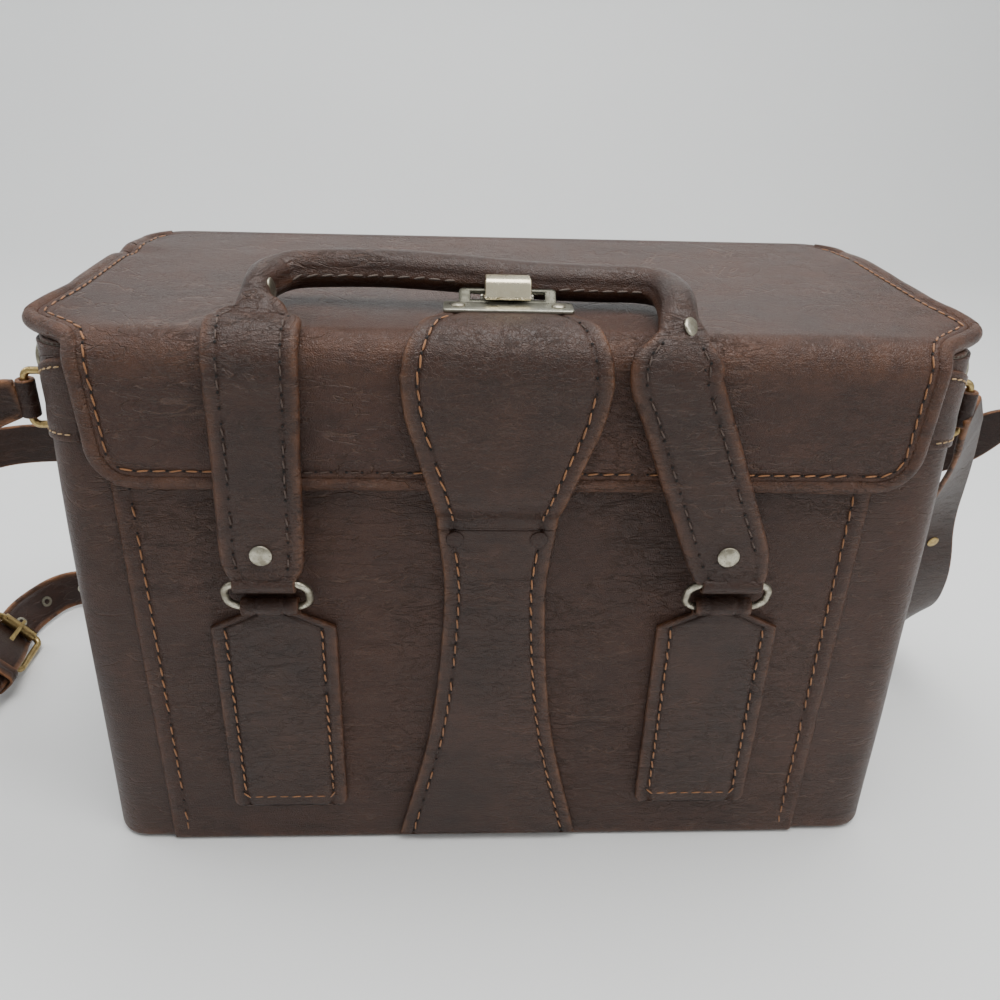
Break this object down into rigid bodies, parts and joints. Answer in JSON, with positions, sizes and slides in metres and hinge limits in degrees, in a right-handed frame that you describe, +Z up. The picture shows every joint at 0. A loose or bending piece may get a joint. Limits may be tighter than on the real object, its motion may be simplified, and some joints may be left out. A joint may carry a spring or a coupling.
{
  "type": "camera case",
  "caption": "Boxy leather camera case with a hinged flap lid, a latched tongue strap, a looped handle on two rings, and a buckled shoulder strap lying beside and behind it.",
  "frame": {"origin": "middle of the base panel, on the surface that the case stands on", "axes": "+Z up, front with the flap and the latch towards -Y, +X to the right seen from the front"},
  "size_m": [0.621, 0.223, 0.2764],
  "materials": {
    "leather": "satin, mottled, fine grain",
    "leather_strap": "satin, worn along the edges",
    "board": "matt, stiff board",
    "lining": "matt flock",
    "divider_felt": "matt felt over foam",
    "nickel": "worn satin plating",
    "brass": "dull plating",
    "cord": "matt cord"
  },
  "bodies": {
    "case": {"body_board": "board", "body_lining": "lining", "rim_binding": "leather", "end_panel_left": "leather", "end_panel_right": "leather", "wrap_panel": "leather", "divider_left": "divider_felt", "divider_right": "divider_felt", "tongue_base": "leather", "tongue_discs": "leather", "front_tab_left": "leather", "front_tab_right": "leather", "side_wing_left": "leather", "side_wing_right": "leather", "side_stud_left": "nickel", "side_stud_right": "nickel", "hinge_strip": "leather", "sling_left": "leather_strap", "sling_long": "leather_strap", "sling_keeper": "leather_strap", "sling_rivets": "brass", "sling_eyelets": "brass", "buckle_frame": "brass"},
    "lid": {"lid_cover": "leather", "lid_board": "board", "lid_lining": "lining", "lid_edge_roll": "leather", "catch_base": "nickel", "catch_pin": "nickel"},
    "clip": {"catch_clip": "nickel"},
    "tongue_strap": {"tongue": "leather", "hasp_plate": "nickel", "hasp_rivets": "nickel"},
    "ring_left": {"handle_ring_left": "nickel"},
    "ring_right": {"handle_ring_right": "nickel"},
    "handle": {"handle_strap_left": "leather_strap", "handle_strap_right": "leather_strap", "handle_neck_left": "leather_strap", "handle_neck_right": "leather_strap", "handle_grip": "leather_strap", "grip_core": "cord", "strap_rivet_left": "nickel", "strap_rivet_right": "nickel", "neck_rivet_left": "nickel", "neck_rivet_right": "nickel"},
    "side_ring_left": {"side_ring_left": "brass"},
    "side_ring_right": {"side_ring_right": "brass"},
    "roller": {"buckle_roller": "brass"},
    "prong": {"buckle_prong": "brass"}
  },
  "joints": [
    {"name": "lid_open", "type": "hinge", "parent": "case", "child": "lid", "pos_m": [0, 0.0845, 0.2498], "axis": [-1, 0, 0], "range_deg": [0, 105], "deforming": ["hinge_strip"]},
    {"name": "tongue_fold", "type": "hinge", "parent": "case", "child": "tongue_strap", "pos_m": [0, -0.08615, 0.1755], "axis": [1, 0, 0], "range_deg": [0, 170], "deforming": ["tongue", "hasp_plate", "hasp_rivets"]},
    {"name": "ring_left_swing", "type": "hinge", "parent": "case", "child": "ring_left", "pos_m": [-0.099, -0.0885, 0.1392], "axis": [1, 0, 0], "range_deg": [0, 85]},
    {"name": "ring_right_swing", "type": "hinge", "parent": "case", "child": "ring_right", "pos_m": [0.0915, -0.0885, 0.1392], "axis": [1, 0, 0], "range_deg": [0, 85]},
    {"name": "handle_swing", "type": "hinge", "parent": "ring_left", "child": "handle", "pos_m": [-0.099, -0.09475, 0.15425], "axis": [1, 0, 0], "range_deg": [0, 85], "deforming": ["handle_neck_left", "handle_neck_right", "handle_grip", "grip_core"]},
    {"name": "clip_release", "type": "hinge", "parent": "lid", "child": "clip", "pos_m": [-0.0055, -0.05208, 0.26], "axis": [-1, 0, 0], "range_deg": [0, 22]},
    {"name": "side_ring_left_swing", "type": "hinge", "parent": "case", "child": "side_ring_left", "pos_m": [-0.1832, -0.0461, 0.214], "axis": [0, 0, 1], "range_deg": [-20, 20], "deforming": ["sling_left"]},
    {"name": "side_ring_right_swing", "type": "hinge", "parent": "case", "child": "side_ring_right", "pos_m": [0.1832, -0.0461, 0.214], "axis": [0, 0, 1], "range_deg": [-20, 20], "deforming": ["sling_long"]},
    {"name": "roller_spin", "type": "hinge", "parent": "case", "child": "roller", "pos_m": [-0.292, 0.0719, 0.01444], "axis": [-0.7001, 0, 0.7141], "continuous": true},
    {"name": "prong_lift", "type": "hinge", "parent": "case", "child": "prong", "pos_m": [-0.292, 0.0419, 0.01444], "axis": [0.7001, 0, -0.7141], "range_deg": [0, 18]}
  ],
  "couplings": [
    {"joint": "tongue_fold", "follows": "lid_open", "ratio": 1.6},
    {"joint": "ring_left_swing", "follows": "lid_open", "ratio": 0.8},
    {"joint": "ring_right_swing", "follows": "lid_open", "ratio": 0.8},
    {"joint": "handle_swing", "follows": "lid_open", "ratio": 0.8},
    {"joint": "clip_release", "follows": "lid_open", "ratio": 0.2}
  ]
}
